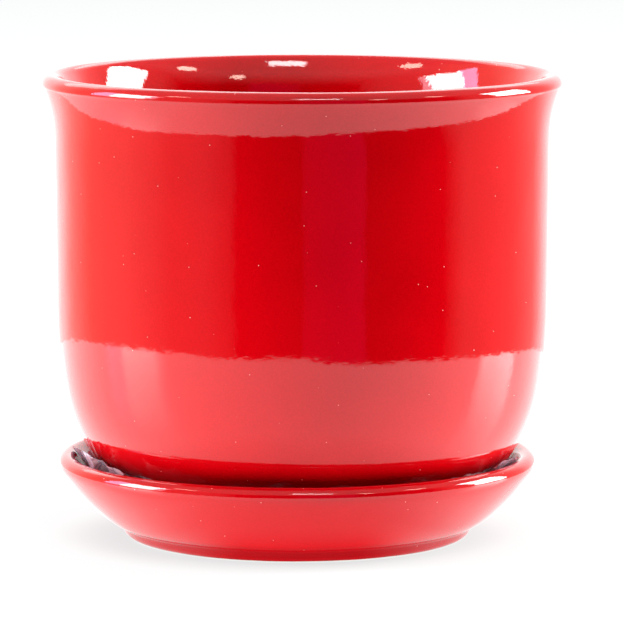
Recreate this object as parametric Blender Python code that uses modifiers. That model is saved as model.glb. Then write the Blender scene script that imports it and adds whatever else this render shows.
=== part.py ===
"""Glazed planter pot standing in its saucer, with a crumpled foil sheet between the two.

Metres, +Z up. The origin is on the pot's axis, at the level that the saucer stands on.
Each piece is a profile turned about its own axis. The saucer's axis lies a little to one
side of the pot's, because the pot was set down slightly off centre, and the foil shares
the saucer's axis, so that foil and pot can turn in the saucer.
"""

from math import asin, atan2, cos, radians, sin, sqrt, tau

import bpy
from mathutils import Vector

# ---------------------------------------------------------------- driving dimensions
TURN_STEPS = 64             # facets round each turned piece
GAP = 0.0003                # clearance between touching pieces
SAUCER_X = -0.00145         # the saucer's axis, measured from the pot's
SHARED = 0.00001            # two outline points nearer than this are one point

POT_TOP = 0.1364            # height of the lip's crest above the table
POT_RIM_R = 0.0762          # outermost radius, a nominal six inch pot
POT_LIP_R = 0.0029          # radius of the rolled lip's section
POT_LIP_TUCK = radians(8)   # how far the lip rolls under before the flare begins
POT_WALL = 0.0055           # thickness of the wall
POT_NECK = (0.0725, 0.117)  # radius and height where the flare leaves the wall
POT_FLARE_R = 0.040         # radius of the flare's curve
POT_INNER_FLARE_BOW = 0.0012  # how far the flare's inside bows into the pot
POT_INNER_FLARE_END = radians(140)  # where it meets the lip's round section
POT_WAIST = (0.0720, 0.068)  # radius and height where the wall starts to curve in
POT_BELLY_R = 0.134         # curve under the waist
POT_BELLY_END = radians(10.5)  # how far the belly has leaned in when the base takes over
POT_BASE_R = 0.050          # tighter curve of the rounded bottom
POT_FOOT_R = 0.0490         # outer radius of the foot ring
POT_FOOT_WIDTH = 0.0050
POT_FOOT_BEVEL = 0.0008     # on the foot's outer edge
POT_FOOT_Z = 0.0085         # the foot ring stands at this height, on the foil
POT_UNDER_Z = 0.0105        # underside of the floor inside the foot ring
POT_FLOOR_Z = 0.0150        # upper side of the floor
DRAIN_R = 0.0065            # drain hole in the middle of the floor

SAUCER_RIM_R = 0.0705       # outermost radius
SAUCER_TOP = 0.0247         # height of the lip's crest
SAUCER_LIP_R = 0.0029       # radius of the rolled lip's section
SAUCER_LIP_TUCK = radians(32)  # how far the lip rolls under before the wall begins
SAUCER_FLOOR_Z = 0.0065     # upper side of the floor
SAUCER_FLOOR_R = 0.0500     # radius of the flat part of the floor
SAUCER_CREASE = (0.0535, 0.0040)  # radius and height where the wall meets the foot
SAUCER_WALL_BULGE = 0.00126  # how far the wall's outside swells past a straight line
SAUCER_WELL_BULGE = 0.0022  # and its inside
SAUCER_FOOT_R = 0.0515
SAUCER_FOOT_NECK_Z = 0.0034  # height at which the foot turns out into the crease
SAUCER_FOOT_ROUND = 0.0026  # rounding of the foot's lower edge
SAUCER_FOOT_INNER_R = 0.0455
SAUCER_RECESS_Z = 0.0018    # hollow inside the foot ring

FOIL_THICK = 0.0014         # crumpled layers under the foot
FOIL_TOP = 0.0200           # height of the ruffled edge in the channel
FOIL_ROUND = 0.0010         # rounding of the ruffled edge
FOIL_STEP = 0.0021          # spacing of the outline's points up the channel


# ---------------------------------------------------------------- outline helpers
def arc(centre, radius, start, end, count):
    """Points of a circular arc in (r, z), from angle start to end, both included."""
    span = end - start
    angles = [start + span * i / count for i in range(count + 1)]
    return [(centre[0] + radius * cos(a), centre[1] + radius * sin(a)) for a in angles]


def bow(a, b, bulge, count):
    """Points of the arc from a to b that swells by bulge to the left of its chord."""
    a, b = Vector(a), Vector(b)
    chord = b - a
    half = chord.length / 2
    radius = (half * half + bulge * bulge) / (2 * bulge)
    normal = Vector((-chord.y, chord.x)).normalized()
    centre = (a + b) / 2 + normal * (bulge - radius)
    spread = asin(half / radius)
    middle = atan2(normal.y, normal.x)
    return arc(centre, radius, middle + spread, middle - spread, count)


def arc_radius_at(centre, radius, z):
    """Radius from the axis at which a circular arc passes the height z, on its outer side."""
    return centre[0] + sqrt(radius * radius - (z - centre[1]) ** 2)


def joined(*runs):
    """One outline from several runs of points, without the points that two runs share."""
    outline = []
    for run in runs:
        for point in run:
            if not outline or (Vector(point) - Vector(outline[-1])).length > SHARED:
                outline.append(tuple(point))
    return outline


# ---------------------------------------------------------------- outlines, in (r, z)
def pot_curve_centres():
    """Centres of the belly's curve and of the rounded bottom's curve."""
    belly = (POT_WAIST[0] - POT_BELLY_R, POT_WAIST[1])
    lean = POT_BELLY_R - POT_BASE_R
    base = (belly[0] + lean * cos(POT_BELLY_END), belly[1] - lean * sin(POT_BELLY_END))
    return belly, base


def pot_outline():
    """Closed section of the pot: down the outside, under the floor and up the inside."""
    belly, base = pot_curve_centres()
    lip = (POT_RIM_R - POT_LIP_R, POT_TOP - POT_LIP_R)
    flare = (POT_NECK[0] + POT_FLARE_R, POT_NECK[1])
    flare_top = asin((lip[1] - POT_NECK[1]) / POT_FLARE_R)
    base_end = asin((POT_FOOT_R - base[0]) / POT_BASE_R)
    thin_belly = POT_BELLY_R - POT_WALL
    thin_base = POT_BASE_R - POT_WALL
    floor_end = asin((base[1] - POT_FLOOR_Z) / thin_base)
    half_turn = tau / 2
    foot_inner = POT_FOOT_R - POT_FOOT_WIDTH
    inner_neck = (POT_NECK[0] - POT_WALL, POT_NECK[1])
    inner_lip = arc(lip, POT_LIP_R, POT_INNER_FLARE_END, tau / 4, 3)
    return joined(
        arc(lip, POT_LIP_R, tau / 4, 0, 4),
        arc(lip, POT_LIP_R, 0, -POT_LIP_TUCK, 1),
        arc(flare, POT_FLARE_R, half_turn - flare_top, half_turn, 5)[1:],
        arc(belly, POT_BELLY_R, 0, -POT_BELLY_END, 3),
        arc(base, POT_BASE_R, -POT_BELLY_END, base_end - tau / 4, 8),
        [(POT_FOOT_R, POT_FOOT_Z + POT_FOOT_BEVEL), (POT_FOOT_R - POT_FOOT_BEVEL, POT_FOOT_Z)],
        [(foot_inner, POT_FOOT_Z), (foot_inner, POT_UNDER_Z)],
        [(DRAIN_R, POT_UNDER_Z), (DRAIN_R, POT_FLOOR_Z)],
        arc(base, thin_base, -floor_end, -POT_BELLY_END, 6),
        arc(belly, thin_belly, -POT_BELLY_END, 0, 3),
        bow(inner_neck, inner_lip[0], POT_INNER_FLARE_BOW, 5),
        inner_lip[:-1],
    )


def saucer_well(count):
    """The inside of the saucer's wall, from its lip down to the flat of the floor."""
    lip_inner = (SAUCER_RIM_R - 2 * SAUCER_LIP_R, SAUCER_TOP - SAUCER_LIP_R)
    return bow(lip_inner, (SAUCER_FLOOR_R, SAUCER_FLOOR_Z), SAUCER_WELL_BULGE, count)


def saucer_outline():
    """Section of the saucer from the middle of its floor to the middle of its underside."""
    lip = (SAUCER_RIM_R - SAUCER_LIP_R, SAUCER_TOP - SAUCER_LIP_R)
    tucked = arc(lip, SAUCER_LIP_R, 0, -SAUCER_LIP_TUCK, 2)
    foot_round = (SAUCER_FOOT_R - SAUCER_FOOT_ROUND, SAUCER_FOOT_ROUND)
    return joined(
        [(0, SAUCER_FLOOR_Z)],
        reversed(saucer_well(7)),
        arc(lip, SAUCER_LIP_R, tau / 2, 0, 8),
        tucked,
        bow(tucked[-1], SAUCER_CREASE, SAUCER_WALL_BULGE, 6),
        [(SAUCER_FOOT_R, SAUCER_FOOT_NECK_Z)],
        arc(foot_round, SAUCER_FOOT_ROUND, 0, -tau / 4, 3),
        [(SAUCER_FOOT_INNER_R, 0), (SAUCER_FOOT_INNER_R, SAUCER_RECESS_Z)],
        [(0, SAUCER_RECESS_Z)],
    )


def foil_outline():
    """Section of the foil: a thin sheet under the foot that is ruffled up in the channel."""
    base = pot_curve_centres()[1]
    room = abs(SAUCER_X) + 2 * GAP
    low = SAUCER_FLOOR_Z + GAP
    flat_top = low + FOIL_THICK
    shoulder = FOIL_TOP - FOIL_ROUND
    heights = [shoulder - i * FOIL_STEP for i in range(3)]
    inner = [(arc_radius_at(base, POT_BASE_R, z) + room, z) for z in heights]
    outer = [(r - 2 * GAP, z + GAP) for r, z in saucer_well(7) if z + GAP < shoulder]
    return joined(
        [(0, flat_top), (POT_FOOT_R + room, flat_top)],
        [(POT_FOOT_R + room, POT_UNDER_Z)],
        reversed(inner),
        [(inner[0][0] + FOIL_ROUND, FOIL_TOP), (outer[0][0] - FOIL_ROUND, FOIL_TOP)],
        outer[:-1],
        [(SAUCER_FLOOR_R, low), (0, low)],
    )


# ---------------------------------------------------------------- objects and materials
def material(name, colour, roughness, metallic=0.0):
    """A Principled material with one colour."""
    made = bpy.data.materials.new(name)
    made.use_nodes = True
    shader = made.node_tree.nodes["Principled BSDF"]
    shader.inputs["Base Color"].default_value = (*colour, 1.0)
    shader.inputs["Roughness"].default_value = roughness
    shader.inputs["Metallic"].default_value = metallic
    return made


def turned(name, outline, closed, axis_x, finish, collection):
    """A solid made by turning an outline about the vertical line at axis_x."""
    edges = [(i, i + 1) for i in range(len(outline) - 1)]
    if closed:
        edges.append((len(outline) - 1, 0))
    mesh = bpy.data.meshes.new(name)
    mesh.from_pydata([(r, 0, z) for r, z in outline], edges, [])
    made = bpy.data.objects.new(name, mesh)
    made.location = (axis_x, 0, 0)
    made.data.materials.append(finish)
    collection.objects.link(made)
    screw = made.modifiers.new("Turn", "SCREW")
    screw.axis = "Z"
    screw.angle = tau
    screw.steps = screw.render_steps = TURN_STEPS
    screw.use_merge_vertices = True
    screw.merge_threshold = SHARED
    screw.use_smooth_shade = True
    return made


def clear_scene():
    """Remove every object, so that the script starts from nothing."""
    for leftover in list(bpy.data.objects):
        bpy.data.objects.remove(leftover, do_unlink=True)


def main():
    """Build the saucer, the foil and the pot."""
    clear_scene()
    planter = bpy.data.collections.new("Glazed planter")
    bpy.context.scene.collection.children.link(planter)
    red_glaze = material("Red glaze on the pot", (0.62, 0.008, 0.022), 0.06)
    saucer_glaze = material("Red glaze on the saucer", (0.60, 0.008, 0.022), 0.07)
    silver = material("Crumpled silver foil", (0.82, 0.80, 0.84), 0.22, 1.0)
    turned("saucer", saucer_outline(), False, SAUCER_X, saucer_glaze, planter)
    turned("foil_liner", foil_outline(), False, SAUCER_X, silver, planter)
    turned("pot", pot_outline(), True, 0.0, red_glaze, planter)


main()
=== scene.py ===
"""A red glazed planter pot in its saucer, with a crumpled foil sheet between the two.

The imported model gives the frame. Each solid of that frame is stood for by a finer piece:
turned and glazed clay for the pot and the saucer, and a creased sheet for the foil. The
lengths are in metres, +Z is up, and the origin is on the pot's axis at table height.
"""

import logging
import math
from dataclasses import dataclass, field
from enum import Enum
from typing import Callable, Sequence, Union

import bpy
import numpy as np
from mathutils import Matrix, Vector
from mathutils.geometry import delaunay_2d_cdt


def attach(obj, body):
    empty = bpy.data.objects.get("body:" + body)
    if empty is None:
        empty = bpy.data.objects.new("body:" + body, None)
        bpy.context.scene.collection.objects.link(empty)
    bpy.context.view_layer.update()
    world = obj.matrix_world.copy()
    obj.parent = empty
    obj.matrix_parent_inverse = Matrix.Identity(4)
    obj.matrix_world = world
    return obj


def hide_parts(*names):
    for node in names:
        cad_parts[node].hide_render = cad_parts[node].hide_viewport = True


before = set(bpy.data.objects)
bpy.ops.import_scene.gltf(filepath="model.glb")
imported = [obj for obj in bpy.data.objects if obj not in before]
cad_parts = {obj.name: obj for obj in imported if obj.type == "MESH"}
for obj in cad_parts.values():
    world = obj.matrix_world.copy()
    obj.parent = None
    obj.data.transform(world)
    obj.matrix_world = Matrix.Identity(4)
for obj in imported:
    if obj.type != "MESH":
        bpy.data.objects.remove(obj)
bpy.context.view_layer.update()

log = logging.getLogger("planter")

Point = tuple[float, float]
Colour = tuple[float, float, float]
Thing = bpy.types.Object
Material = bpy.types.Material
Rng = np.random.Generator
SAUCER_X = -0.00145     # the saucer's axis, measured from the pot's
WARM = (1.0, 0.80, 0.66)


# ---------------------------- shader expressions
def _operator(operation: str, swapped: bool = False) -> Callable:
    """An operator of a value, which adds a Math node.

    Args:
        operation: The node's operation. Less than gives one where it holds, and else zero.
        swapped: Whether the value is the second term.

    Returns:
        The method for the value's class.
    """

    def method(self: "Value", other: Union["Value", float]) -> "Value":
        """The node's outcome."""
        terms = (other, self) if swapped else (self, other)
        settings = {"operation": operation}
        return self.graph.node("ShaderNodeMath", settings, dict(enumerate(terms)))

    return method


class Value:
    """One output of a node, which takes part in arithmetic with numbers and other values."""

    def __init__(self, graph: "Graph", socket: bpy.types.NodeSocket) -> None:
        """Wrap a socket of a graph.

        Args:
            graph: The graph that the socket's node belongs to.
            socket: The output socket.
        """
        self.graph = graph
        self.socket = socket

    def other(self, name: str) -> "Value":
        """Another output of the same node, by its name."""
        return Value(self.graph, self.socket.node.outputs[name])

    __add__ = _operator("ADD")
    __radd__ = _operator("ADD", swapped=True)
    __rsub__ = _operator("SUBTRACT", swapped=True)
    __mul__ = _operator("MULTIPLY")
    __truediv__ = _operator("DIVIDE")
    __lt__ = _operator("LESS_THAN")

    def eased(self, low: float, high: float) -> "Value":
        """Zero below low, one above high, and a smooth step between them.

        Args:
            low: The value at which the step begins.
            high: The value at which it ends. It may be the smaller of the two.

        Returns:
            The smooth step.
        """
        if low > high:
            return 1.0 - self.eased(high, low)
        settings = {"interpolation_type": "SMOOTHSTEP"}
        inputs = {"Value": self, "From Min": low, "From Max": high}
        return self.graph.node("ShaderNodeMapRange", settings, inputs)


Input = Union[Value, float, Sequence[float]]


class Graph:
    """A node tree that is written as expressions."""

    def __init__(self, tree: bpy.types.NodeTree) -> None:
        """Start from an empty tree.

        Args:
            tree: The tree of a material or of the world.
        """
        self.tree = tree
        tree.nodes.clear()

    def node(
        self,
        kind: str,
        settings: Union[dict, None] = None,
        inputs: Union[dict[Union[str, int], Input], None] = None,
        out: Union[str, int] = 0,
    ) -> Value:
        """Add a node.

        Args:
            kind: The node's type, such as ShaderNodeTexNoise.
            settings: Its properties, set first. "stops" holds a colour ramp's stops.
            inputs: The value or link of each socket, by the socket's name or number.
            out: The output that is handed back.

        Returns:
            That output.
        """
        made = self.tree.nodes.new(kind)
        for name, setting in (settings or {}).items():
            if name == "stops":
                self._set_stops(made.color_ramp, setting)
            else:
                setattr(made, name, setting)
        for name, given in (inputs or {}).items():
            if isinstance(given, Value):
                self.tree.links.new(given.socket, made.inputs[name])
            else:
                made.inputs[name].default_value = given
        return Value(self, made.outputs[out] if made.outputs else made.inputs[0])

    @staticmethod
    def _set_stops(ramp: bpy.types.ColorRamp, stops: Sequence[tuple]) -> None:
        """Give a colour ramp its stops.

        Args:
            ramp: The ramp.
            stops: Pairs of a position and a grey or a colour, in rising order.
        """
        while len(ramp.elements) > 1:
            ramp.elements.remove(ramp.elements[-1])
        for index, (position, shade) in enumerate(stops):
            if index:
                element = ramp.elements.new(position)
            else:
                element = ramp.elements[0]
                element.position = position
            element.color = (*shade, 1.0) if isinstance(shade, tuple) else (shade,) * 3 + (1.0,)

    def place(self) -> Value:
        """The point being shaded, in the piece's own metres."""
        return self.node("ShaderNodeTexCoord", out="Object")

    def height(self) -> Value:
        """The height of the point being shaded, in metres."""
        return self.node("ShaderNodeSeparateXYZ", None, {"Vector": self.place()}).other("Z")

    def noise(self, size: float, detail: float = 2.0) -> Value:
        """Smooth noise from zero to one.

        Args:
            size: The size of its patches, in metres.
            detail: How many finer layers it has.

        Returns:
            The noise.
        """
        inputs = {"Vector": self.place(), "Scale": 1.0 / size, "Detail": detail}
        return self.node("ShaderNodeTexNoise", None, inputs)

    def cells(self, size: float, feature: str = "F1") -> Value:
        """Voronoi cells, as the distance to a feature. The cell's colour is another output.

        Args:
            size: The size of the cells, in metres.
            feature: The Voronoi feature.

        Returns:
            The distance, in cells.
        """
        inputs = {"Vector": self.place(), "Scale": 1.0 / size}
        return self.node("ShaderNodeTexVoronoi", {"feature": feature}, inputs)

    def mix(self, factor: Input, first: Input, second: Input, blend: str = "MIX") -> Value:
        """A colour between two colours.

        Args:
            factor: Zero for the first colour, one for the second.
            first: The first colour.
            second: The second colour.
            blend: The Mix node's way of blending.

        Returns:
            The mixed colour.
        """
        colours = [c if isinstance(c, Value) else (*c, 1.0) for c in (first, second)]
        inputs = {"Factor": factor, 6: colours[0], 7: colours[1]}
        settings = {"data_type": "RGBA", "blend_type": blend}
        return self.node("ShaderNodeMix", settings, inputs, out=2)

    def bump(self, height: Value, depth: float, under: Union[Value, None] = None) -> Value:
        """A normal that a height bends.

        Args:
            height: The height, about zero to one.
            depth: The metres that a height of one stands for.
            under: The normal that this one adds to.

        Returns:
            The normal.
        """
        inputs = {"Height": height, "Distance": depth, "Strength": 1.0}
        if under is not None:
            inputs["Normal"] = under
        return self.node("ShaderNodeBump", None, inputs)


def new_material(name: str) -> tuple[Material, Graph]:
    """A material with an empty graph.

    Args:
        name: The material's name.

    Returns:
        The material and its graph.
    """
    material = bpy.data.materials.new(name)
    material.use_nodes = True
    return material, Graph(material.node_tree)


def surface(graph: Graph, inputs: dict[str, Input]) -> None:
    """End a material's graph in a Principled shader.

    Args:
        graph: The graph.
        inputs: The shader's sockets.
    """
    shader = graph.node("ShaderNodeBsdfPrincipled", None, inputs)
    graph.node("ShaderNodeOutputMaterial", None, {"Surface": shader})


# ---------------------------- finishes
@dataclass(frozen=True)
class Glaze:
    """A deep, glassy coloured glaze that levelled almost flat in the kiln."""

    name: str
    colour: Colour
    deep_colour: Colour
    # painted shade: the colour turns to this towards the bottom, for the shade low down between
    # the pot and the saucer
    painted_base_shade_colour: Colour = (0.20, 0.0, 0.0)
    painted_base_shade_z: Point = (0.0290, 0.0205)    # heights between which painted shade darkens it, down to the foot
    speck_colour: Colour = (1.0, 0.42, 0.36)
    roughness: float = 0.035
    ior: float = 1.55
    swell_size: float = 0.016       # slow swells left by levelling
    swell_height: float = 0.000010
    peel_size: float = 0.0017       # fine orange peel
    peel_height: float = 0.000023
    grain_size: float = 0.00045     # sandy grain of the colour
    speck_spacing: float = 0.0032   # pinholes and specks of dust under the glaze
    speck_radius: float = 0.00019
    speck_share: float = 0.50       # share of the cells that hold one
    speck_pit: float = 0.12         # depth of its pit, as a share of its radius
    speck_cover: float = 0.85       # how far it hides the glaze's colour
    speck_dullness: float = 0.25    # roughness that it adds
    cloud_size: float = 0.030       # drifts of the deeper colour
    cloud_share: float = 0.4
    grain_share: float = 0.6
    dull_size: float = 0.045        # patches that are a little less glossy
    dull_roughness: float = 0.015

    def material(self) -> Material:
        """The glaze as a material."""
        material, graph = new_material(self.name)
        cells = graph.cells(self.speck_spacing)
        chance = graph.node("ShaderNodeSeparateColor", None, {"Color": cells.other("Color")})
        reach = self.speck_radius / self.speck_spacing
        present = chance < self.speck_share
        speck = cells.eased(reach, reach * 0.5) * present
        cloud = graph.noise(self.cloud_size, 3.0).eased(0.35, 0.75)
        grain = graph.noise(self.grain_size, 2.0).eased(0.30, 0.70)
        depth = cloud * self.cloud_share + grain * self.grain_share
        even = graph.mix(depth, self.colour, self.deep_colour)
        # painted shade: the colour is darker towards the bottom, standing in for the shade low
        # down between the pieces
        body = graph.mix(graph.height().eased(*self.painted_base_shade_z), even, self.painted_base_shade_colour)
        swell = graph.bump(graph.noise(self.swell_size, 1.0), self.swell_height)
        peel = graph.bump(graph.noise(self.peel_size, 3.0), self.peel_height, swell)
        pitted = graph.bump(speck, self.speck_radius * self.speck_pit, peel)
        dull = graph.noise(self.dull_size, 2.0).eased(0.45, 0.8) * self.dull_roughness
        inputs = {
            "Base Color": graph.mix(speck * self.speck_cover, body, self.speck_colour),
            "Roughness": self.roughness + dull + speck * self.speck_dullness,
            "IOR": self.ior,
            "Normal": pitted,
        }
        surface(graph, inputs)
        return material


@dataclass(frozen=True)
class BareClay:
    """Fired clay without glaze, as on the underside of a foot."""

    name: str = "bare_fired_clay"
    colour: Colour = (0.66, 0.52, 0.42)
    stained: Colour = (0.52, 0.36, 0.27)
    sand: Colour = (0.80, 0.72, 0.62)
    roughness: float = 0.82
    blotch_size: float = 0.012
    grain_size: float = 0.0006
    grain_height: float = 0.00012

    def material(self) -> Material:
        """The clay as a material."""
        material, graph = new_material(self.name)
        blotch = graph.noise(self.blotch_size, 4.0)
        grain = graph.noise(self.grain_size, 3.0)
        colour = graph.mix(blotch.eased(0.4, 0.7), self.colour, self.stained)
        sandy = graph.mix(grain.eased(0.62, 0.72) * 0.5, colour, self.sand)
        inputs = {
            "Base Color": sandy,
            "Roughness": self.roughness + grain * 0.15,
            "Normal": graph.bump(grain, self.grain_height),
        }
        surface(graph, inputs)
        return material


@dataclass(frozen=True)
class Foil:
    """Thin silvery foil, dulled by handling and creased all over."""

    name: str = "crumpled_silver_foil"
    colour: Colour = (0.84, 0.81, 0.89)
    rubbed: Colour = (0.62, 0.56, 0.68)
    # painted shade: the colour that the foil is darkened to along its creases
    painted_crease_shade: Colour = (0.42, 0.36, 0.46)
    metallic: float = 0.55          # the rest is a milky film
    roughness: float = 0.16
    worn_size: float = 0.008        # patches that are rubbed dull
    crease_size: float = 0.0034
    crease_height: float = 0.00004
    fine_size: float = 0.0009       # the finest wrinkles
    fine_height: float = 0.00002

    def material(self) -> Material:
        """The foil as a material."""
        material, graph = new_material(self.name)
        # painted shade: the colour is darkened along the creases, which also bend the normal
        creases = graph.cells(self.crease_size, "DISTANCE_TO_EDGE").eased(0.0, 0.14)
        fine = graph.noise(self.fine_size, 2.0)
        worn = graph.noise(self.worn_size, 3.0).eased(0.4, 0.7)
        sheen = graph.mix(worn, self.colour, self.rubbed)
        bent = graph.bump(creases, self.crease_height)
        inputs = {
            "Base Color": graph.mix(creases, self.painted_crease_shade, sheen),
            "Metallic": self.metallic,
            "Roughness": self.roughness + worn * 0.10 + fine * 0.05,
            "Normal": graph.bump(fine, self.fine_height, bent),
        }
        surface(graph, inputs)
        return material


def polar(radius: float, angle: float) -> Point:
    """The point at a radius and an angle, in radians anticlockwise from the first axis."""
    return radius * math.cos(angle), radius * math.sin(angle)


def add_mesh(name: str, vertices: Sequence, faces: Sequence) -> Thing:
    """Add a mesh object to the scene.

    Args:
        name: The object's name.
        vertices: The places of its points.
        faces: The points of each face.

    Returns:
        The object.
    """
    mesh = bpy.data.meshes.new(name)
    mesh.from_pydata(vertices, [], faces)
    mesh.validate()
    made = bpy.data.objects.new(name, mesh)
    bpy.context.scene.collection.objects.link(made)
    return made


# ---------------------------- turned pieces
class Outline:
    """A section in (r, z) that is drawn as with a pen, a stretch at a time."""

    def __init__(self, spacing: float = 0.00015) -> None:
        """Start an empty outline.

        Args:
            spacing: The distance between the points that are drawn.
        """
        self.spacing = spacing
        self.points: list[Point] = []

    def to(self, *corners: Point) -> "Outline":
        """Straight lines to each corner in turn."""
        for corner in corners:
            if self.points:
                start = Vector(self.points[-1])
                run = Vector(corner) - start
                count = max(1, math.ceil(run.length / self.spacing))
                self.points += [tuple(start + run * (i / count)) for i in range(1, count + 1)]
            else:
                self.points.append(corner)
        return self

    def arc(self, centre: Point, radius: float, start: float, end: float) -> "Outline":
        """A straight line to an arc's start, and then the arc.

        Args:
            centre: The arc's centre.
            radius: Its radius.
            start: The angle at which it starts, anticlockwise from +r, in radians.
            end: The angle at which it ends.

        Returns:
            This outline.
        """
        count = max(2, math.ceil(abs(end - start) * radius / self.spacing))
        for i in range(count + 1):
            x, y = polar(radius, start + (end - start) * i / count)
            self.to((centre[0] + x, centre[1] + y))
        return self

    def bow(self, end: Point, bulge: float) -> "Outline":
        """An arc to a point, which swells to the left of the straight line there.

        Args:
            end: The arc's end.
            bulge: How far it swells.

        Returns:
            This outline.
        """
        start, stop = Vector(self.points[-1]), Vector(end)
        chord = stop - start
        half = chord.length / 2
        radius = (half * half + bulge * bulge) / (2 * bulge)
        normal = Vector((-chord.y, chord.x)).normalized()
        centre = (start + stop) / 2 + normal * (bulge - radius)
        spread = math.asin(half / radius)
        middle = math.atan2(normal.y, normal.x)
        return self.arc(tuple(centre), radius, middle + spread, middle - spread)

    def softened(self, reach: float, closed: bool) -> np.ndarray:
        """The outline with its corners rounded, as glaze or wear rounds them.

        Args:
            reach: The width of the rounding.
            closed: Whether the outline runs back into its start.

        Returns:
            Points with an even spacing.
        """
        points = np.array(self.points + self.points[:1] if closed else self.points)
        lengths = np.linalg.norm(np.diff(points, axis=0), axis=1)
        along = np.concatenate([[0.0], np.cumsum(lengths)])
        count = max(8, int(along[-1] / self.spacing))
        even = np.linspace(0.0, along[-1], count + 1)
        points = np.stack([np.interp(even, along, points[:, i]) for i in (0, 1)], axis=1)
        span = max(1, round(3 * reach / self.spacing))
        offsets = np.arange(-span, span + 1)
        weights = np.exp(-0.5 * (offsets * self.spacing / reach) ** 2)
        weights /= weights.sum()
        if closed:
            points = points[:-1]
            padded = np.concatenate([points[-span:], points, points[:span]])
        else:
            mirrored = [points[span:0:-1] * (-1, 1), points, points[-2 : -span - 2 : -1] * (-1, 1)]
            padded = np.concatenate(mirrored)
        smooth = [np.convolve(padded[:, i], weights, "valid") for i in (0, 1)]
        return np.stack(smooth, axis=1)


def thinned(
    points: np.ndarray, closed: bool, turn: float = math.radians(3.5), stride: float = 0.0016
) -> np.ndarray:
    """An outline with fewer points where it runs nearly straight.

    Args:
        points: Points with an even, fine spacing.
        closed: Whether the outline runs back into its start.
        turn: The most that it may turn between two points that are kept, in radians.
        stride: The longest distance between them.

    Returns:
        The points that are kept.
    """
    ahead = np.diff(points, axis=0)
    heading = np.unwrap(np.arctan2(ahead[:, 1], ahead[:, 0]))
    bend = np.abs(np.diff(heading))
    step = np.linalg.norm(ahead, axis=1)
    kept, turned, gone = [0], 0.0, 0.0
    for i in range(1, len(points) - 1):
        turned += bend[i - 1]
        gone += step[i - 1]
        if turned >= turn or gone >= stride:
            kept.append(i)
            turned = gone = 0.0
    if not closed:
        kept.append(len(points) - 1)
    return points[kept]


@dataclass
class Swell:
    """Very slight unevenness of a turned wall: a sum of waves round it and up it."""

    seed: int
    height: float
    wave: float
    count: int = 14

    def offsets(self, angle: np.ndarray, level: np.ndarray, radius: float) -> np.ndarray:
        """How far the wall lies proud at each point.

        Args:
            angle: The points' angles round the axis.
            level: Their distances along the outline.
            radius: The radius at which the waves have their length.

        Returns:
            The offsets, in metres.
        """
        rng = np.random.default_rng(self.seed)
        round_most = math.tau * radius / self.wave
        total = np.zeros_like(angle)
        for _ in range(self.count):
            turns = round(rng.uniform(-round_most, round_most))
            rise = rng.uniform(0.2, 1.0) * math.tau / self.wave
            total += np.cos(turns * angle + rise * level + rng.uniform(0, math.tau))
        return total * self.height / math.sqrt(self.count)


@dataclass
class TurnedPiece:
    """A piece of clay that is turned about an upright axis."""

    name: str
    node: str
    body: str
    slot: str
    axis_x: float
    finishes: list[Material]
    segments: int = 384
    swells: list[Swell] = field(default_factory=list)
    swell_at_r: float = 0.07        # radius at which the swells have their length
    even_r: float = 0.02            # they fade out from here to the axis

    def outline(self) -> tuple[np.ndarray, bool]:
        """The section's points, in order round the clay, and whether they close."""
        raise NotImplementedError

    def finish_at(self, radius: np.ndarray, height: np.ndarray) -> np.ndarray:
        """The number of the finish at each face.

        Args:
            radius: The faces' distances from the axis.
            height: Their heights.

        Returns:
            A number for each face.
        """
        return np.zeros(len(radius), int)

    def build(self) -> Thing:
        """Make the piece, dress it and let it ride on its body."""
        points, closed = self.outline()
        made = self._turn(points, closed)
        for material in self.finishes:
            made.data.materials.append(material)
        centres = np.array([f.center[:] for f in made.data.polygons])
        radius = np.hypot(centres[:, 0] - self.axis_x, centres[:, 1])
        numbers = self.finish_at(radius, centres[:, 2])
        made.data.polygons.foreach_set("material_index", numbers.astype(np.int32))
        made.data.shade_smooth()
        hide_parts(self.node)
        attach(made, self.body)
        log.info("%s: %d faces, rides on %s", self.name, len(made.data.polygons), self.body)
        return made

    def _turn(self, points: np.ndarray, closed: bool) -> Thing:
        """Turn an outline about the axis into a mesh.

        Args:
            points: The outline.
            closed: Whether it runs back into its start. If not, it starts and ends on the axis.

        Returns:
            The object.
        """
        ring = points if closed else points[1:-1]
        along = np.concatenate([[0], np.cumsum(np.linalg.norm(np.diff(ring, axis=0), axis=1))])
        angles = np.arange(self.segments) * math.tau / self.segments
        angle, index = np.meshgrid(angles, np.arange(len(ring)), indexing="ij")
        radius, height = ring[index, 0], ring[index, 1]
        level = along[index]
        heading = np.gradient(ring, axis=0)
        normal = np.stack([-heading[:, 1], heading[:, 0]], axis=1)
        normal /= np.linalg.norm(normal, axis=1)[:, None]
        ease = np.clip(ring[:, 0] / self.even_r, 0, 1)[index]
        proud = sum(s.offsets(angle, level, self.swell_at_r) for s in self.swells) * ease
        radius = radius + proud * normal[index, 0]
        height = height + proud * normal[index, 1]
        x = self.axis_x + radius * np.cos(angle)
        vertices = np.stack([x, radius * np.sin(angle), height], axis=-1).reshape(-1, 3)
        count = len(ring)
        rows = np.arange(self.segments) * count
        following = np.roll(rows, -1)
        last = count if closed else count - 1
        first = np.arange(last)
        second = (first + 1) % count
        quads = np.stack(
            [
                (rows[:, None] + first).ravel(),
                (rows[:, None] + second).ravel(),
                (following[:, None] + second).ravel(),
                (following[:, None] + first).ravel(),
            ],
            axis=1,
        )
        faces = quads.tolist()
        if not closed:
            top, under = len(vertices), len(vertices) + 1
            poles = [[self.axis_x, 0, points[0, 1]], [self.axis_x, 0, points[-1, 1]]]
            vertices = np.concatenate([vertices, poles])
            faces += [[a, b, top] for a, b in zip(rows, following)]
            faces += [[b + count - 1, a + count - 1, under] for a, b in zip(rows, following)]
        return add_mesh(self.name, vertices.tolist(), faces)


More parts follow.
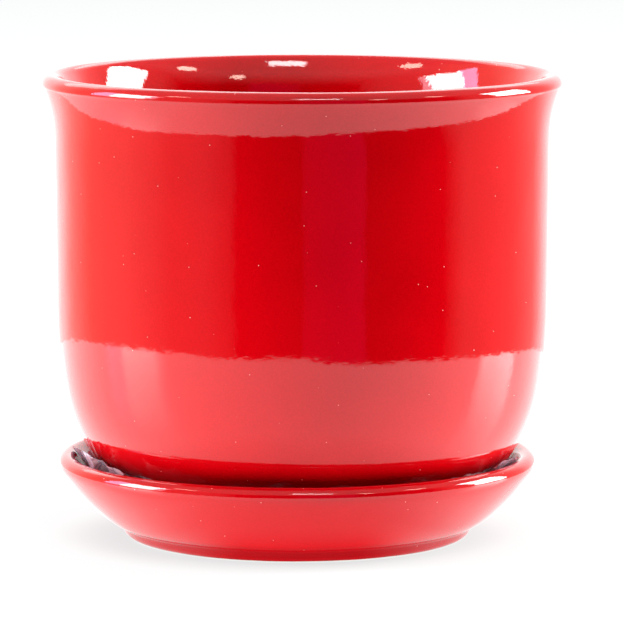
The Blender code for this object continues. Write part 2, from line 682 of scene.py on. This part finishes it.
@dataclass
class Pot(TurnedPiece):
    """The pot: a rolled lip, a flared neck, an upright wall, a rounded bottom and a foot."""

    top: float = 0.1364
    rim_r: float = 0.0762
    lip_r: float = 0.0029
    lip_tuck: float = math.radians(8)
    wall: float = 0.0055
    neck: Point = (0.0725, 0.117)
    flare_r: float = 0.040
    flare_gap: float = math.radians(0.8)    # left between the flare's curve and the lip
    inner_flare_bow: float = 0.0012
    inner_flare_end: float = math.radians(140)  # where it meets the lip's round section
    waist: Point = (0.0720, 0.068)
    belly_r: float = 0.134
    belly_end: float = math.radians(10.5)
    base_r: float = 0.050
    foot_r: float = 0.0490
    foot_width: float = 0.0050
    foot_z: float = 0.0085
    under_z: float = 0.0105
    floor_z: float = 0.0150
    drain_r: float = 0.0065
    glaze_reach: float = 0.00035    # rounding that the glaze gives to a corner

    def base_centre(self) -> Point:
        """The centre of the rounded bottom's curve."""
        lean = self.belly_r - self.base_r
        x = self.waist[0] - self.belly_r + lean * math.cos(self.belly_end)
        return x, self.waist[1] - lean * math.sin(self.belly_end)

    def radius_at(self, height: float) -> float:
        """The outer radius of the rounded bottom at a height."""
        centre = self.base_centre()
        return centre[0] + math.sqrt(self.base_r**2 - (height - centre[1]) ** 2)

    def outline(self) -> tuple[np.ndarray, bool]:
        """Down the outside from the lip, under the floor, and up the inside."""
        quarter = math.tau / 4
        lip = (self.rim_r - self.lip_r, self.top - self.lip_r)
        flare = (self.neck[0] + self.flare_r, self.neck[1])
        flare_top = math.asin((lip[1] - self.neck[1]) / self.flare_r) - self.flare_gap
        belly = (self.waist[0] - self.belly_r, self.waist[1])
        base = self.base_centre()
        base_end = math.asin((self.foot_r - base[0]) / self.base_r) - quarter
        thin = self.base_r - self.wall
        floor_end = -math.asin((base[1] - self.floor_z) / thin)
        foot_inner = self.foot_r - self.foot_width
        pen = Outline()
        pen.arc(lip, self.lip_r, quarter, -self.lip_tuck)
        pen.arc(flare, self.flare_r, 2 * quarter - flare_top, 2 * quarter)
        pen.arc(belly, self.belly_r, 0, -self.belly_end)
        pen.arc(base, self.base_r, -self.belly_end, base_end)
        pen.to((self.foot_r, self.foot_z), (foot_inner, self.foot_z), (foot_inner, self.under_z))
        pen.to((self.drain_r, self.under_z), (self.drain_r, self.floor_z))
        pen.arc(base, thin, floor_end, -self.belly_end)
        pen.arc(belly, self.belly_r - self.wall, -self.belly_end, 0)
        pen.to((self.neck[0] - self.wall, self.neck[1]))
        end = self.inner_flare_end
        x, y = polar(self.lip_r, end)
        pen.bow((lip[0] + x, lip[1] + y), self.inner_flare_bow)
        pen.arc(lip, self.lip_r, end, quarter)
        smooth = pen.softened(self.glaze_reach, closed=True)
        return thinned(smooth, closed=True), True

    def finish_at(self, radius: np.ndarray, height: np.ndarray) -> np.ndarray:
        """Bare clay on the foot's sole, under the floor and in the drain hole."""
        skin, drip = 0.0002, 0.0012     # the glaze's thickness, and how far it runs in
        sole = (height < self.under_z + skin) & (radius < self.foot_r - 0.0003)
        drain = (radius < self.drain_r + skin) & (height < self.floor_z - drip)
        return (sole | drain).astype(int)


@dataclass
class Saucer(TurnedPiece):
    """The saucer: a rolled lip, a dished wall and a low foot ring."""

    rim_r: float = 0.0705
    top: float = 0.0247
    lip_r: float = 0.0029
    lip_tuck: float = math.radians(32)
    floor_z: float = 0.0065
    floor_r: float = 0.0500
    crease: Point = (0.0535, 0.0040)
    wall_bulge: float = 0.00126
    well_bulge: float = 0.0022
    foot_r: float = 0.0515
    foot_neck_z: float = 0.0034
    foot_round: float = 0.0026
    foot_inner_r: float = 0.0455
    recess_z: float = 0.0018
    glaze_reach: float = 0.00105

    def outline(self) -> tuple[np.ndarray, bool]:
        """From the middle of the floor over the lip to the middle of the underside."""
        half = math.tau / 2
        lip = (self.rim_r - self.lip_r, self.top - self.lip_r)
        floor_edge = (self.floor_r, self.floor_z)
        lip_inner = (lip[0] - self.lip_r, lip[1])
        pen = Outline()
        pen.to((0.0, self.floor_z), floor_edge)
        pen.bow(lip_inner, -self.well_bulge)
        pen.arc(lip, self.lip_r, half, -self.lip_tuck)
        pen.bow(self.crease, self.wall_bulge)
        pen.to((self.foot_r, self.foot_neck_z))
        foot = (self.foot_r - self.foot_round, self.foot_round)
        pen.arc(foot, self.foot_round, 0, -half / 2)
        pen.to((self.foot_inner_r, 0), (self.foot_inner_r, self.recess_z), (0, self.recess_z))
        smooth = pen.softened(self.glaze_reach, closed=False)
        smooth[:, 1] -= smooth[:, 1].min()
        return thinned(smooth, closed=False), False

    def finish_at(self, radius: np.ndarray, height: np.ndarray) -> np.ndarray:
        """Bare clay on the foot's sole."""
        inner, outer = self.foot_inner_r - 0.0006, self.foot_r - self.foot_round * 0.8
        sole = (radius > inner) & (radius < outer) & (height < self.recess_z / 2)
        return sole.astype(int)

    def well_radius(self, height: float) -> float:
        """The radius of the inside of the wall, and of the lip over it, at a height."""
        pen = Outline()
        pen.to((self.floor_r, self.floor_z))
        pen.bow((self.rim_r - 2 * self.lip_r, self.top - self.lip_r), -self.well_bulge)
        points = np.array(pen.points)
        above = min(self.lip_r, max(0.0, height - self.top + self.lip_r))
        opening = self.lip_r - math.sqrt(self.lip_r**2 - above**2)
        return float(np.interp(height, points[:, 1], points[:, 0])) + opening


# ---------------------------- the foil
@dataclass
class FoilSheet:
    """A round of foil that lies under the pot's foot and is crushed up round it.

    Its points are laid out on the flat sheet first, in polar terms, and each is then
    lifted into the room between the pot and the saucer. The facets between them stay
    flat, so that every edge is a crease.
    """

    pot: Pot
    saucer: Saucer
    name: str = "crumpled_foil_sheet"
    seed: int = 11
    flat_r: float = 0.0715          # radius of the flat sheet
    foot_ring_s: float = 0.0515     # where it leaves the foot, measured on the flat sheet
    edge_s: float = 0.0685          # its edge, less what the small creases take up
    ring_step: float = 0.0034       # spacing of its points round the foot
    edge_step: float = 0.0036       # round the edge
    facet: float = 0.0044           # in the channel
    wide_facet: float = 0.0048      # and under the foot
    tries: int = 6000               # points that are tried for the last two
    rise: float = 0.7               # foil that each metre of a crest's height takes
    gap: float = 0.00035            # clearance to the pot and to the saucer
    under: tuple[float, float] = (0.0074, 0.0082)   # room under the foot
    ring_z: float = 0.0079          # height at which it comes out from under the foot
    channel_z: float = 0.0085       # and from which it climbs the channel
    flat_z: float = 0.0084          # what lies lower is kept under the foot's level
    top: tuple[float, float] = (0.0170, 0.0218)     # lowest and highest point of the edge
    crests: tuple[tuple[float, float, float], ...] = (
        (-156, 0.0078, 28),         # where it is squeezed out higher: the direction and
        (-24, 0.0044, 26),          # the spread are in degrees, with the height between
        (95, 0.0030, 26),
    )
    crinkle: float = 0.00014        # depth of the small creases

    def build(self, material: Material) -> Thing:
        """Make the sheet, dress it and let it ride on its body."""
        rng = np.random.default_rng(self.seed)
        flat, ring = self._flat_points(rng)
        spots = [Vector(p) for p in flat]
        edges = [(i, (i + 1) % ring) for i in range(ring)]
        found = delaunay_2d_cdt(spots, edges, [], 0, 1e-7)
        faces = [tuple(f) for f in found[2]]
        flat = np.array([p[:] for p in found[0]])
        lifted = self._lift(flat, rng)
        made = add_mesh(self.name, *self._crinkled(lifted, faces, rng))
        made.data.materials.append(material)
        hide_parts("foil_liner")
        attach(made, "foil")
        log.info("%s: %d facets, rides on foil", self.name, len(made.data.polygons))
        return made

    def _flat_points(self, rng: Rng) -> tuple[np.ndarray, int]:
        """Points on the flat sheet: a ring round the foot, the edge, and scattered ones.

        Args:
            rng: The source of the scatter.

        Returns:
            The points, and how many of them, at the start, make the ring.
        """
        ring = round(math.tau * self.foot_ring_s / self.ring_step)
        angles = np.arange(ring) * math.tau / ring
        points = [polar(self.foot_ring_s, a) for a in angles]
        count = round(math.tau * self.edge_s / self.edge_step)
        for i in range(count):
            angle = (i + rng.uniform(-0.3, 0.3)) * math.tau / count
            points.append(polar(self._edge_at(angle), angle))
        for _ in range(self.tries):
            share, angle = math.sqrt(rng.uniform()), rng.uniform(0, math.tau)
            s = self._edge_at(angle) * share
            spacing = self.facet if s > self.foot_ring_s else self.wide_facet
            spot = np.array(polar(s, angle))
            if np.min(np.linalg.norm(np.array(points) - spot, axis=1)) > spacing:
                points.append(tuple(spot))
        return np.array(points), ring

    def _crest(self, angle: float) -> float:
        """How much higher than elsewhere the foil is squeezed out at an angle."""
        extra = 0.0
        for towards, rise, spread in self.crests:
            off = (math.degrees(angle) - towards + 180) % 360 - 180
            extra += rise * math.exp(-((off / spread) ** 2))
        return extra

    def _edge_at(self, angle: float) -> float:
        """The distance of the flat sheet's edge from its middle at an angle."""
        return self.edge_s + self.rise * self._crest(angle)

    def _room(self, angle: float, height: float) -> tuple[float, float]:
        """The room for the foil at an angle round the saucer's axis, as two radii.

        Args:
            angle: The angle.
            height: The height.

        Returns:
            The radius that just clears the pot and the one that just clears the saucer.
        """
        outer = self.saucer.well_radius(height) - self.gap
        wall = max(self.pot.foot_r, self.pot.radius_at(height)) + self.gap
        shift = self.pot.axis_x - self.saucer.axis_x
        across = wall * wall - (shift * math.sin(angle)) ** 2
        return shift * math.cos(angle) + math.sqrt(across), outer

    def _lift(self, flat: np.ndarray, rng: Rng) -> np.ndarray:
        """Lift the flat points into the room between the pot and the saucer.

        Args:
            flat: The points on the flat sheet.
            rng: The source of the unevenness.

        Returns:
            The lifted points.
        """
        waves = [(n, rng.uniform(0, math.tau)) for n in (2, 5, 9, 14)]
        lifted = []
        for x, y in flat:
            s, angle = math.hypot(x, y), math.atan2(y, x)
            if s < self.foot_ring_s + 1e-5:
                close = s > self.foot_ring_s - 1e-5
                height = self.ring_z if close else rng.uniform(*self.under)
                radius = s
            else:
                ripple = sum(math.sin(n * angle + p) for n, p in waves) / len(waves)
                share = 0.45 + 0.5 * ripple + 0.45 * abs(math.cos(angle))
                share += rng.uniform(-0.15, 0.15)
                low, high = self.top
                crest = low + (high - low) * min(1.0, max(0.0, share)) + self._crest(angle)
                t = (s - self.foot_ring_s) / (self._edge_at(angle) - self.foot_ring_s)
                height = self.channel_z + (crest - self.channel_z) * t
                inner, outer = self._room(angle, height)
                across = rng.uniform(0.6, 1.0) if t > 0.95 else rng.beta(0.8, 0.8)
                radius = inner + (outer - inner) * across
            x, y = polar(radius, angle)
            lifted.append((self.saucer.axis_x + x, y, height))
        return np.array(lifted)

    def _crinkled(
        self, points: np.ndarray, faces: list[tuple], rng: Rng
    ) -> tuple[list, list]:
        """Break every facet into four, and push the new points in or out a little.

        Args:
            points: The facets' corners.
            faces: The facets.
            rng: The source of the pushes.

        Returns:
            Vertices and faces, for a mesh.
        """
        vertices = [tuple(p) for p in points]
        middles: dict[tuple[int, int], int] = {}

        def middle(a: int, b: int) -> int:
            """The point on the edge between two corners."""
            key = (min(a, b), max(a, b))
            if key not in middles:
                spot = (points[a] + points[b]) / 2 + rng.normal(0, self.crinkle, 3)
                middles[key] = len(vertices)
                vertices.append(tuple(self._kept_clear(spot)))
            return middles[key]

        small = []
        for a, b, c in faces:
            ab, bc, ca = middle(a, b), middle(b, c), middle(c, a)
            small += [(a, ab, ca), (b, bc, ab), (c, ca, bc), (ab, bc, ca)]
        return vertices, small

    def _kept_clear(self, spot: np.ndarray) -> np.ndarray:
        """A point moved back into the room, if a push took it out."""
        x = spot[0] - self.saucer.axis_x
        radius, angle = math.hypot(x, spot[1]), math.atan2(spot[1], x)
        height = max(spot[2], self.under[0])
        if radius < self.foot_ring_s or height < self.flat_z:
            height = min(height, self.under[1])
        else:
            inner, outer = self._room(angle, height)
            radius = min(max(radius, inner), outer)
        x, y = polar(radius, angle)
        return np.array([self.saucer.axis_x + x, y, height])


# ---------------------------- the studio
class Seen(Enum):
    """What sees a thing on the stage."""

    CAMERA = "camera only"
    GLOSS = "reflections only"


def seen_by(thing: Thing, seen: Seen) -> None:
    """Choose what sees a thing on the stage.

    Args:
        thing: The object.
        seen: What sees it.
    """
    thing.visible_camera = seen is Seen.CAMERA
    thing.visible_glossy = seen is Seen.GLOSS
    thing.visible_diffuse = False
    thing.visible_transmission = False
    thing.visible_shadow = False


def direction(azimuth: float, elevation: float) -> Vector:
    """A direction from the pot.

    Args:
        azimuth: Degrees from the front, growing to the left.
        elevation: Degrees above the horizon.

    Returns:
        The direction, of length one.
    """
    a, e = math.radians(azimuth), math.radians(elevation)
    return Vector((-math.sin(a) * math.cos(e), -math.cos(a) * math.cos(e), math.sin(e)))


@dataclass(frozen=True)
class Lamp:
    """A soft light, placed and sized by the angles at which the pot sees it, in degrees."""

    name: str
    azimuth: float
    elevation: float
    width: float
    height: float
    radiance: float
    shape: str = "RECTANGLE"
    tint: Colour = (1.0, 1.0, 1.0)
    distance: float = 2.5
    in_gloss: bool = True

    def build(self) -> None:
        """Add the light."""
        data = bpy.data.lights.new(self.name, "AREA")
        data.shape = self.shape
        data.size = 2 * self.distance * math.tan(math.radians(self.width / 2))
        data.size_y = 2 * self.distance * math.tan(math.radians(self.height / 2))
        area = data.size * data.size_y * (math.pi / 4 if self.shape == "ELLIPSE" else 1.0)
        data.energy = self.radiance * math.pi * area
        data.color = self.tint
        made = bpy.data.objects.new(self.name, data)
        towards = direction(self.azimuth, self.elevation)
        made.location = towards * self.distance + Vector((0, 0, 0.08))
        made.rotation_euler = towards.to_track_quat("Z", "Y").to_euler()
        made.visible_camera = False
        made.visible_glossy = self.in_gloss
        bpy.context.scene.collection.objects.link(made)


@dataclass
class Studio:
    """A pale floor, a round white table, the room round it, and soft lights."""

    floor_r: float = 9.0
    floor_z: float = -0.0002
    table_r: float = 0.355
    table_at: Point = (-0.028, 0.032)
    table_span: float = 0.40        # distance over which the table's shade runs
    room_r: float = 2.7
    room_z: tuple[float, float] = (-1.5, 2.2)
    lamps: tuple[Lamp, ...] = (     # azimuth, elevation, width, height and radiance
        Lamp("softbox_left", 82, 17, 21, 28, 20.0),
        Lamp("softbox_left_wing", 98.5, 17, 11, 28, 8.0, tint=(0.60, 0.58, 1.0)),
        Lamp("softbox_left_edge", 69, 17, 4.5, 26, 5.0, tint=(1.0, 0.80, 0.95)),
        Lamp("softbox_right", -105, 16, 25, 31, 24.0),
        Lamp("strip_above_front", -9, 46, 16, 5, 18.0),
        Lamp("lamp_left", 64, 40, 11, 4, 14.0, "ELLIPSE", WARM),
        Lamp("lamp_right", -36, 32, 7, 4, 14.0, "ELLIPSE", WARM),
        Lamp("lamp_far_right", -67, 37, 10, 4, 16.0, "ELLIPSE", WARM),
        Lamp("bank_behind", 170, 38, 60, 24, 1.8),
        Lamp("overhead", 0, 80, 60, 60, 1.1, in_gloss=False),
        Lamp("table_glow", 0, -90, 151, 151, 2.05, "ELLIPSE", distance=0.09, in_gloss=False),
    )

    def build(self) -> None:
        """Put up the whole studio."""
        self._floor()
        self._table()
        self._room()
        self._ceiling()
        for lamp in self.lamps:
            lamp.build()
        world = bpy.data.worlds.new("pale_room")
        bpy.context.scene.world = world
        world.use_nodes = True
        sky = Graph(world.node_tree)
        pale = sky.node("ShaderNodeBackground", None, {"Color": (0.93, 0.92, 0.90, 1.0)})
        sky.node("ShaderNodeOutputWorld", None, {"Surface": pale})
        world.cycles_visibility.glossy = False
        world.cycles_visibility.diffuse = False

    @staticmethod
    def _disc(name: str, radius: float, at: Point, height: float) -> Thing:
        """A flat round sheet on the stage."""
        spokes = [polar(radius, i * math.tau / 128) for i in range(128)]
        rim = [(at[0] + x, at[1] + y, height) for x, y in spokes]
        made = add_mesh(name, rim, [range(128)])
        return made

    def _floor(self) -> None:
        """The pale floor that the camera sees. Its glow is darker round the foot as a painted
        shadow, and it takes a faint real shadow too.
        """
        floor = self._disc("pale_floor", self.floor_r, (0.0, 0.0), self.floor_z)
        material, graph = new_material("pale_floor")
        mottle = graph.noise(0.4, 2.0).eased(0.2, 0.8)
        # painted shadow: the glow is darker round the foot, centred a little to the left of the
        # axis
        close = self._reach(graph, (-0.005, 0.0)).eased(0.048, 0.072) * 0.85
        far = close + self._reach(graph).eased(0.07, 0.30) * 0.15
        inputs = {
            "Base Color": graph.mix(mottle, (0.110, 0.128, 0.128), (0.107, 0.124, 0.124)),
            "Roughness": 0.9,
            "Specular IOR Level": 0.0,
            "Emission Color": graph.mix(far, (0.70, 0.72, 0.72), (0.91, 0.915, 0.91)),
            "Emission Strength": 1.0,
        }
        surface(graph, inputs)
        floor.data.materials.append(material)
        seen_by(floor, Seen.CAMERA)

    def _table(self) -> None:
        """The round table, as the glaze sees it. Its glow stands in for a lit white table, with a
        painted shadow round the pot and painted light to the sides.
        """
        table = self._disc("round_table", self.table_r, self.table_at, self.floor_z * 2)
        material, graph = new_material("round_table")
        distance = self._reach(graph)
        azimuth = self._azimuth(graph)
        side = graph.node("ShaderNodeMath", {"operation": "ABSOLUTE"}, {0: azimuth})
        # painted shadow: the glow is black at the pot's axis and rises to full beyond the saucer
        stops = ((0, 0.0), (0.13, 0.1), (0.155, 0.5), (0.20, 0.95), (0.30, 1.3), (1, 1.4))
        along = distance * (1.0 + side.eased(0.3, 1.1) * 0.22) / self.table_span
        shade = graph.node("ShaderNodeValToRGB", {"stops": stops}, {"Fac": along})
        # painted light: towards the sides the glow stays above a floor value and is stronger
        shade = graph.mix(side.eased(0.3, 1.0), shade, (0.62, 0.62, 0.62), "LIGHTEN")
        self._glow(graph, shade, 1.07 + side.eased(0.0, 1.4) * 0.45, polish=0.10)
        table.data.materials.append(material)
        seen_by(table, Seen.GLOSS)

    @staticmethod
    def _reach(graph: Graph, about: Point = (0.0, 0.0)) -> Value:
        """The distance on the ground from the pot's axis, or from a point beside it."""
        ends = {0: graph.place(), 1: (*about, 0.0)}
        return graph.node("ShaderNodeVectorMath", {"operation": "DISTANCE"}, ends).other("Value")

    @staticmethod
    def _azimuth(graph: Graph) -> Value:
        """The angle round the pot from the front, in radians, growing to the left."""
        axes = graph.node("ShaderNodeSeparateXYZ", None, {"Vector": graph.place()})
        left, front = axes * -1.0, axes.other("Y") * -1.0
        return graph.node("ShaderNodeMath", {"operation": "ARCTAN2"}, {0: left, 1: front})

    @staticmethod
    def _glow(
        graph: Graph, shade: Value, gain: Union[Value, None] = None, polish: float = 0.0
    ) -> None:
        """End a graph in a surface that glows, and otherwise is black.

        Args:
            graph: The graph.
            shade: The colour of the glow.
            gain: What it is multiplied by, if anything.
            polish: How much the surface mirrors, as a specular level.
        """
        if gain is not None:
            grey = graph.node("ShaderNodeCombineXYZ", None, {"X": gain, "Y": gain, "Z": gain})
            settings = {"operation": "MULTIPLY"}
            shade = graph.node("ShaderNodeVectorMath", settings, {0: shade, 1: grey})
        black = (0.0, 0.0, 0.0, 1.0)
        inputs = {
            "Base Color": black,
            "Roughness": 0.30 if polish else 1.0,
            "Specular IOR Level": polish,
            "Emission Color": shade,
            "Emission Strength": 1.0,
        }
        surface(graph, inputs)

    def _room(self) -> None:
        """What stands round the table: dark in front, and paler to the sides and behind."""
        count, (low, high) = 128, self.room_z
        flat = [polar(self.room_r, i * math.tau / count) for i in range(count)]
        vertices = [(*p, low) for p in flat] + [(*p, high) for p in flat]
        faces = [(i, (i + 1) % count, (i + 1) % count + count, i + count) for i in range(count)]
        room = add_mesh("room_around", vertices, faces)
        material, graph = new_material("room_around")
        stops = [   # degrees round from the front, growing to the left, and the shade there
            (-180, (1.7, 1.7, 1.7)), (-150, (1.5, 1.5, 1.5)), (-135, (0.8, 0.75, 0.68)),
            (-114, (0.55, 0.52, 0.46)), (-80, (0.45, 0.42, 0.38)), (-68, (0.0, 0.0, 0.0)),
            (-29, (0.0, 0.0, 0.0)), (-28, (1.2, 0.02, 0.16)), (-1, (0.7, 0.02, 0.10)),
            (0, (0.0, 0.0, 0.0)), (30, (0.0, 0.0, 0.0)), (32, (0.2, 0.15, 0.15)),
            (45, (0.4, 0.35, 0.34)), (62, (0.45, 0.4, 0.36)), (74, (0.7, 0.62, 0.55)),
            (88, (0.9, 0.82, 0.68)), (114, (0.85, 0.78, 0.60)), (134, (1.3, 1.25, 1.1)),
            (146, (1.8, 1.8, 1.75)), (180, (1.7, 1.7, 1.7)),
        ]
        turns = [((degrees + 180) / 360, shade) for degrees, shade in stops]
        turn = self._azimuth(graph) / math.tau + 0.5
        shade = graph.node("ShaderNodeValToRGB", {"stops": turns}, {"Fac": turn})
        haze = graph.mix(graph.height().eased(1.2, 2.1), (0.0, 0.0, 0.0), (0.7, 0.68, 0.66))
        self._glow(graph, graph.mix(1.0, shade, haze, "LIGHTEN"))
        room.data.materials.append(material)
        seen_by(room, Seen.GLOSS)

    def _ceiling(self) -> None:
        """The dim ceiling over the table."""
        ceiling = self._disc("ceiling", self.room_r, (0.0, 0.0), self.room_z[1])
        material, graph = new_material("ceiling")
        shade = graph.mix(self._reach(graph).eased(1.0, 2.2), (1.0, 1.0, 0.97), (0.6, 0.6, 0.58))
        self._glow(graph, shade)
        ceiling.data.materials.append(material)
        seen_by(ceiling, Seen.GLOSS)


def add_camera() -> None:
    """A long lens, a little above the pot and straight in front of it."""
    data = bpy.data.cameras.new("camera")
    data.sensor_width = 36.0
    data.lens = 276.9
    data.clip_end = 50.0
    camera = bpy.data.objects.new("camera", data)
    camera.location = (0.0029, -1.401, 0.2433)
    camera.rotation_euler = (math.radians(82.78), 0.0, 0.0)
    bpy.context.scene.collection.objects.link(camera)
    bpy.context.scene.camera = camera


def main() -> None:
    """Build the saucer, the foil and the pot, and then the studio and the camera."""
    logging.basicConfig(level=logging.INFO, format="%(name)s %(message)s")
    clay = BareClay().material()
    red = (0.64, 0.0008, 0.0045)
    deep = (0.52, 0.0002, 0.0030)
    pot_glaze = Glaze("red_pot_glaze", red, deep).material()
    # painted shade: the saucer's reds are a darker copy of the pot's, to take back light that its
    # lower wall gets too much of
    dull, saucer_shaded_deep_red = (0.55, 0.0008, 0.0045), (0.46, 0.0002, 0.0030)
    # painted shade: the saucer's glaze darkens towards its foot, for the shade round it
    saucer_base_shade = {"painted_base_shade_colour": (0.34, 0.0, 0.003), "painted_base_shade_z": (0.0060, 0.0030)}
    saucer_glaze = Glaze("red_saucer_glaze", dull, saucer_shaded_deep_red, **saucer_base_shade).material()
    swells = [Swell(5, 0.00003, 0.030), Swell(6, 0.000008, 0.009)]
    glazed = [saucer_glaze, clay]
    saucer = Saucer(
        "clay_saucer", "saucer", "saucer", "saucer_glaze", SAUCER_X, glazed, swells=swells
    )
    pot = Pot("clay_pot", "pot", "pot", "pot_glaze", 0.0, [pot_glaze, clay], swells=swells)
    saucer.build()
    FoilSheet(pot, saucer).build(Foil().material())
    pot.build()
    Studio().build()
    add_camera()
    bpy.context.scene.view_settings.view_transform = "Standard"


if __name__ == "__main__":
    main()
